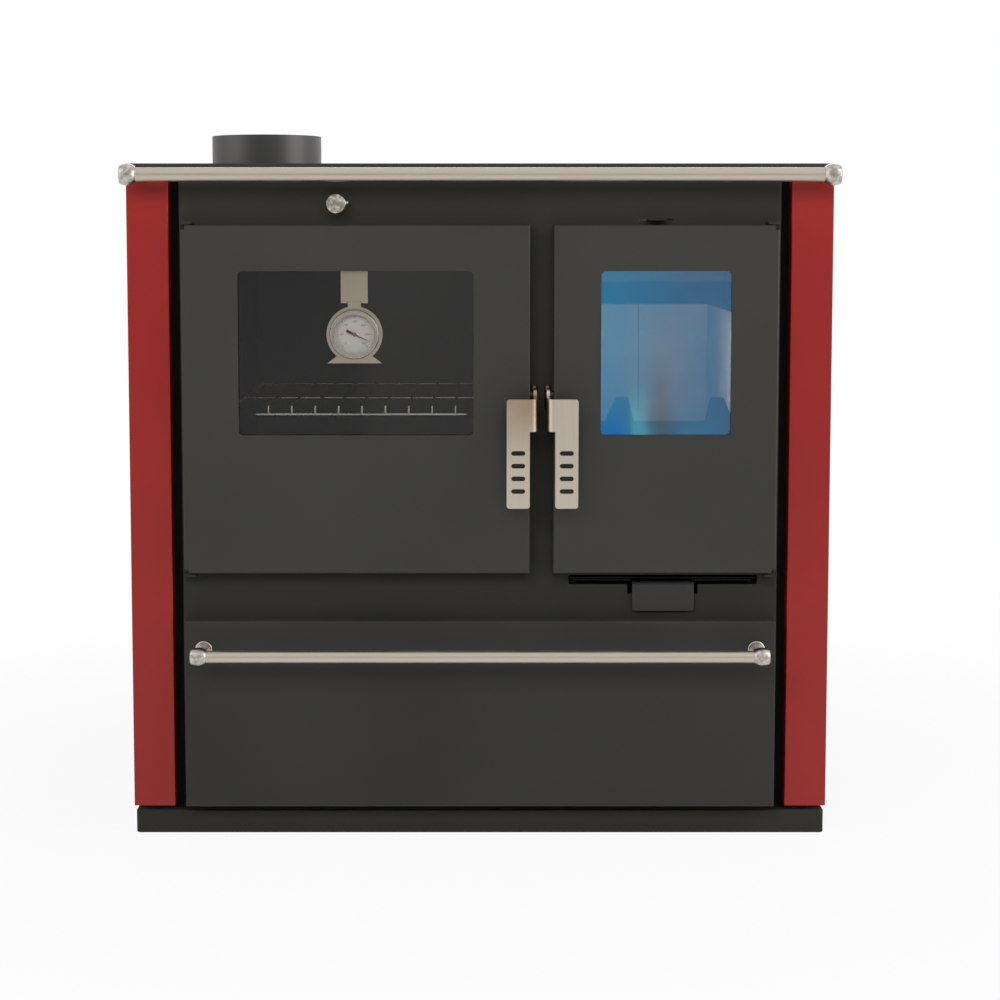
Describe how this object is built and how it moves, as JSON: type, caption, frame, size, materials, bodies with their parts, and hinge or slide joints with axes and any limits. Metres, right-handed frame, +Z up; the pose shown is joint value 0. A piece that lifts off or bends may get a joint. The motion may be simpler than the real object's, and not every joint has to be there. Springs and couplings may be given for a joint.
{
  "type": "wood-burning cookstove",
  "caption": "Freestanding wood-burning cookstove with a glazed oven door, a glazed fire door, a wood drawer, lever handles, grab rails and a flue collar on the cooktop.",
  "frame": {"origin": "centre of the bounding box at floor level", "axes": "+Z up; the stove's front faces -Y; +X is to the right of a cook who faces it"},
  "size_m": [0.882, 0.644, 0.8995],
  "materials": {
    "red_enamel": "satin deep red enamel",
    "charcoal_paint": "satin charcoal stove paint",
    "cooktop_steel": "ground steel plate",
    "stainless": "brushed stainless steel",
    "polished_steel": "polished",
    "galvanised": "galvanised sheet",
    "black_paint": "matt heat-proof black",
    "oven_enamel": "dark vitreous enamel",
    "cast_iron": "as cast",
    "firebrick": "bare refractory",
    "clear_glass": "clear",
    "blue_glass": "heat-reflecting blue coat",
    "rope": "braided glass fibre",
    "zinc_steel": "zinc plated",
    "chromed_wire": "chromed wire",
    "white_dial": "matt white",
    "pointer_paint": "matt dark red"
  },
  "bodies": {
    "body": {"plinth": "charcoal_paint", "base_panel": "black_paint", "casing_sides": "black_paint", "side_panel_left": "red_enamel", "side_panel_right": "red_enamel", "front_plate": "charcoal_paint", "rear_panel": "galvanised", "body_screws": "zinc_steel", "cooktop": "cooktop_steel", "flue_collar": "cast_iron", "flue_box": "black_paint", "smoke_floor": "black_paint", "oven_box": "oven_enamel", "oven_runners": "oven_enamel", "firebox_casing": "black_paint", "firebricks": "firebrick", "log_guard": "cast_iron", "grate": "cast_iron", "air_box": "black_paint", "damper_bush": "stainless", "latch_keeper": "zinc_steel", "door_hinges": "charcoal_paint", "drawer_guides": "black_paint", "top_rail": "stainless", "top_rail_ends": "polished_steel", "top_rail_brackets": "polished_steel"},
    "oven_door": {"oven_door_skin": "charcoal_paint", "oven_door_liner": "black_paint", "oven_door_glass": "clear_glass", "oven_glass_clips": "zinc_steel", "oven_door_rope": "rope", "oven_handle_pivot": "zinc_steel", "thermometer_strap": "stainless"},
    "oven_lever": {"oven_handle": "stainless"},
    "thermometer": {"thermometer_case": "polished_steel", "thermometer_stand": "stainless", "thermometer_dial": "white_dial", "thermometer_glass": "clear_glass"},
    "pointer": {"thermometer_pointer": "pointer_paint"},
    "fire_door": {"fire_door_skin": "charcoal_paint", "fire_door_liner": "black_paint", "fire_door_glass": "blue_glass", "fire_glass_clips": "zinc_steel", "fire_door_rope": "rope", "fire_handle_pivot": "zinc_steel"},
    "fire_lever": {"fire_handle": "stainless"},
    "drawer": {"drawer_front": "charcoal_paint", "drawer_box": "galvanised", "drawer_rail": "stainless", "drawer_rail_ends": "polished_steel", "drawer_rail_brackets": "polished_steel"},
    "rack": {"oven_rack": "chromed_wire"},
    "ash_drawer": {"ash_pan": "galvanised"},
    "damper": {"damper": "black_paint", "damper_knob": "stainless"},
    "primary_air": {"air_slide": "charcoal_paint"},
    "secondary_air": {"air_shutter": "charcoal_paint"},
    "ring": {"hob_ring": "cast_iron"},
    "lid": {"hob_lid": "cast_iron"}
  },
  "joints": [
    {"name": "oven_door_hinge", "type": "hinge", "parent": "body", "child": "oven_door", "pos_m": [-0.3637, -0.2554, 0.55], "axis": [0, 0, -1], "range_deg": [0, 110]},
    {"name": "fire_door_hinge", "type": "hinge", "parent": "body", "child": "fire_door", "pos_m": [0.3637, -0.2554, 0.55], "axis": [0, 0, 1], "range_deg": [0, 110]},
    {"name": "oven_handle_turn", "type": "hinge", "parent": "oven_door", "child": "oven_lever", "pos_m": [0.0688, -0.2544, 0.562], "axis": [-1, 0, 0], "range_deg": [-8.6, 25]},
    {"name": "fire_handle_turn", "type": "hinge", "parent": "fire_door", "child": "fire_lever", "pos_m": [0.0848, -0.2544, 0.562], "axis": [-1, 0, 0], "range_deg": [-8.6, 25]},
    {"name": "drawer_slide", "type": "slide", "parent": "body", "child": "drawer", "axis": [0, -1, 0], "range_m": [0, 0.4]},
    {"name": "damper_pull", "type": "slide", "parent": "body", "child": "damper", "axis": [0, -1, 0], "range_m": [0, 0.06]},
    {"name": "primary_air_pull", "type": "slide", "parent": "body", "child": "primary_air", "axis": [0, -1, 0], "range_m": [0, 0.04]},
    {"name": "secondary_air_slide", "type": "slide", "parent": "body", "child": "secondary_air", "axis": [1, 0, 0], "range_m": [-0.008, 0.008]},
    {"name": "rack_slide", "type": "slide", "parent": "body", "child": "rack", "axis": [0, -1, 0], "range_m": [0, 0.2]},
    {"name": "ash_pan_slide", "type": "slide", "parent": "body", "child": "ash_drawer", "axis": [0, -1, 0], "range_m": [0, 0.14]},
    {"name": "ring_lift", "type": "slide", "parent": "body", "child": "ring", "axis": [0, 0, 1], "range_m": [0, 0.12]},
    {"name": "lid_lift", "type": "slide", "parent": "ring", "child": "lid", "axis": [0, 0, 1], "range_m": [0, 0.1]},
    {"name": "thermometer_swing", "type": "hinge", "parent": "oven_door", "child": "thermometer", "pos_m": [-0.1565, -0.24695, 0.6839], "axis": [1, 0, 0], "range_deg": [0, 8]},
    {"name": "pointer_turn", "type": "hinge", "parent": "thermometer", "child": "pointer", "pos_m": [-0.1565, -0.2504, 0.6378], "axis": [0, 1, 0], "range_deg": [-60, 180]}
  ],
  "couplings": [
    {"joint": "rack_slide", "follows": "oven_door_hinge", "m_per_rad": 0.1},
    {"joint": "ash_pan_slide", "follows": "fire_door_hinge", "m_per_rad": 0.07}
  ]
}
